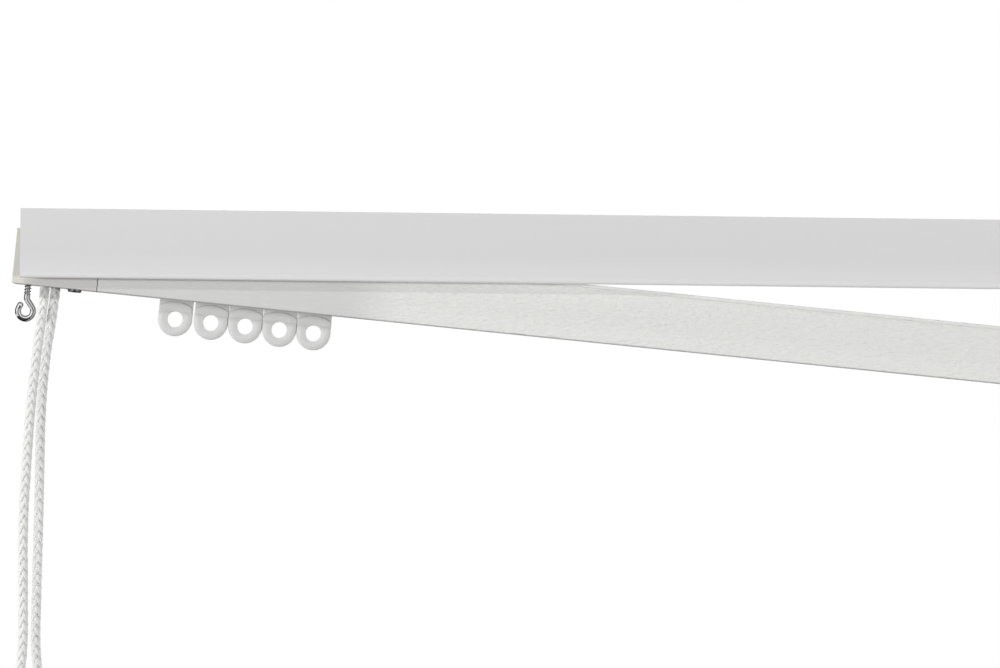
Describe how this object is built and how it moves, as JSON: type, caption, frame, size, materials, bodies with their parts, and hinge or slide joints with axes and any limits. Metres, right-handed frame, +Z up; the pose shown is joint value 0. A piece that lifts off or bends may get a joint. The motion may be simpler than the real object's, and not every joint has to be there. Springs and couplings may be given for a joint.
{
  "type": "curtain track",
  "caption": "Cord drawn curtain track on wall brackets: slotted rail with ring gliders, pulley housings, screw hook, free cord loop and a swing open fascia.",
  "frame": {"origin": "middle of the left wall bracket's two screw holes, on the wall plane", "axes": "+X along the track from the cord end, +Y towards the wall, +Z up"},
  "size_m": [0.6, 0.0572, 0.3846],
  "materials": {
    "rail_paint": "satin white powder coat on aluminium",
    "fascia_white": "satin white rigid plastic strip",
    "housing_white": "moulded white plastic, slightly warm",
    "inner_nylon": "natural nylon",
    "glider_white": "moulded white plastic, softly glossy",
    "bracket_white": "satin white paint on steel",
    "lever_white": "moulded white plastic",
    "chrome": "bright chrome plate",
    "steel": "zinc plated steel",
    "cord_white": "braided white polyester cord",
    "tie_white": "woven band"
  },
  "bodies": {
    "track": {"track_rail": "rail_paint", "end_housing_left": "housing_white", "end_housing_right": "housing_white", "guide_block": "inner_nylon", "return_block": "inner_nylon", "guide_pulley_pins": "steel", "return_pulley_pin": "steel", "housing_screws": "chrome", "screw_hook": "chrome", "track_cord": "cord_white", "pull_cord_front": "cord_white", "pull_cord_rear": "cord_white", "cord_hank": "cord_white", "hank_tie": "tie_white", "wall_bracket_left": "bracket_white", "wall_bracket_right": "bracket_white", "lever_rivets": "steel"},
    "fascia": {"fascia_strip": "fascia_white", "fascia_clip": "housing_white", "fascia_pivot_pin": "housing_white"},
    "master": {"master_carrier": "glider_white", "cord_clip": "steel"},
    "front_pulley": {"guide_pulley_front": "inner_nylon"},
    "rear_pulley": {"guide_pulley_rear": "inner_nylon"},
    "end_pulley": {"return_pulley": "inner_nylon"},
    "lever_left": {"bracket_lever_left": "lever_white"},
    "lever_right": {"bracket_lever_right": "lever_white"},
    "glider_1_body": {"glider_1": "glider_white"},
    "glider_2_body": {"glider_2": "glider_white"},
    "glider_3_body": {"glider_3": "glider_white"},
    "glider_4_body": {"glider_4": "glider_white"},
    "glider_5_body": {"glider_5": "glider_white"}
  },
  "joints": [
    {"name": "fascia_swing", "type": "hinge", "parent": "track", "child": "fascia", "pos_m": [-0.0672, -0.052, 0.002], "axis": [0, -1, 0], "range_deg": [-5.13, 9.87]},
    {"name": "master_slide", "type": "slide", "parent": "track", "child": "master", "axis": [1, 0, 0], "range_m": [-0.16, 0.072]},
    {"name": "front_pulley_spin", "type": "hinge", "parent": "track", "child": "front_pulley", "pos_m": [-0.0566, -0.0466, -0.001], "axis": [0, 1, 0], "range_deg": [-1840, 830]},
    {"name": "rear_pulley_spin", "type": "hinge", "parent": "track", "child": "rear_pulley", "pos_m": [-0.0529, -0.0374, -0.001], "axis": [0, 1, 0], "range_deg": [-830, 1840]},
    {"name": "end_pulley_spin", "type": "hinge", "parent": "track", "child": "end_pulley", "pos_m": [0.516, -0.042, 0.004], "axis": [0, 0, 1], "range_deg": [-2000, 900]},
    {"name": "lever_left_turn", "type": "hinge", "parent": "track", "child": "lever_left", "pos_m": [0, -0.025, 0.008], "axis": [0, 0, 1], "range_deg": [0, 90]},
    {"name": "lever_right_turn", "type": "hinge", "parent": "track", "child": "lever_right", "pos_m": [0.45, -0.025, 0.008], "axis": [0, 0, 1], "range_deg": [0, 90]},
    {"name": "glider_1_slide", "type": "slide", "parent": "track", "child": "glider_1_body", "axis": [1, 0, 0], "range_m": [-0.017, 0.06]},
    {"name": "glider_2_slide", "type": "slide", "parent": "glider_1_body", "child": "glider_2_body", "axis": [1, 0, 0], "range_m": [-0.0006, 0.025]},
    {"name": "glider_3_slide", "type": "slide", "parent": "glider_2_body", "child": "glider_3_body", "axis": [1, 0, 0], "range_m": [0, 0.025]},
    {"name": "glider_4_slide", "type": "slide", "parent": "glider_3_body", "child": "glider_4_body", "axis": [1, 0, 0], "range_m": [0, 0.025]},
    {"name": "glider_5_slide", "type": "slide", "parent": "glider_4_body", "child": "glider_5_body", "axis": [1, 0, 0], "range_m": [0, 0.025]}
  ],
  "couplings": [
    {"joint": "front_pulley_spin", "follows": "master_slide", "rad_per_m": 200},
    {"joint": "rear_pulley_spin", "follows": "master_slide", "rad_per_m": -200},
    {"joint": "end_pulley_spin", "follows": "master_slide", "rad_per_m": 217.39}
  ]
}
